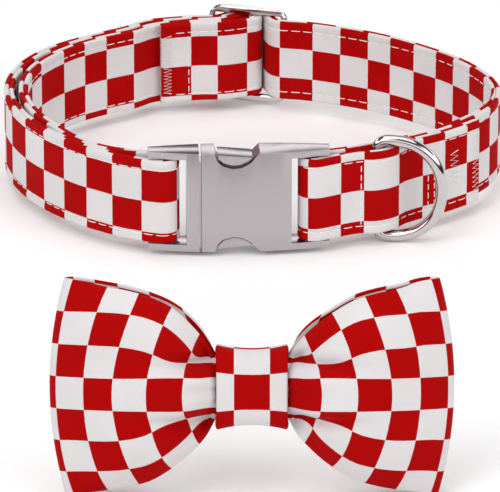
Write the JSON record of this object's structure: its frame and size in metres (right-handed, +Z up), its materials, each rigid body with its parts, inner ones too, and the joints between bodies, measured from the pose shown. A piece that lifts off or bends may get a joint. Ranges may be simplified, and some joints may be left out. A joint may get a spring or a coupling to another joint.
{
  "type": "pet bow tie collar",
  "caption": "Checked cloth pet collar with a side-release metal buckle, a slide and a swinging D-ring, and its matching pleated bow tie standing apart.",
  "frame": {"origin": "middle of the underside of everything built, on the surface that it stands on", "axes": "+X along the buckle towards its body half, +Y from the bow and buckle towards the slide at the back of the neck, +Z up"},
  "size_m": [0.1466, 0.315, 0.0575],
  "materials": {
    "checked_cotton": "woven cotton, printed in red and white checks of 9 mm",
    "bright_metal": "bright nickel plate, satin on the buckle's front",
    "elastic": "plain elastic; its light colour is guessed from a thin grey line that shows above the knot"
  },
  "bodies": {
    "collar": {"strap": "checked_cotton", "buckle_male": "bright_metal", "buckle_female": "bright_metal", "slide": "bright_metal", "bow_wings": "checked_cotton", "bow_knot": "checked_cotton", "bow_loop": "elastic"},
    "d_ring": {"d_ring": "bright_metal"}
  },
  "joints": [
    {"name": "d_ring_swing", "type": "hinge", "parent": "collar", "child": "d_ring", "pos_m": [0.03601, 0.03426, 0.01622], "axis": [0, 0, 1], "range_deg": [-110, 5]}
  ]
}
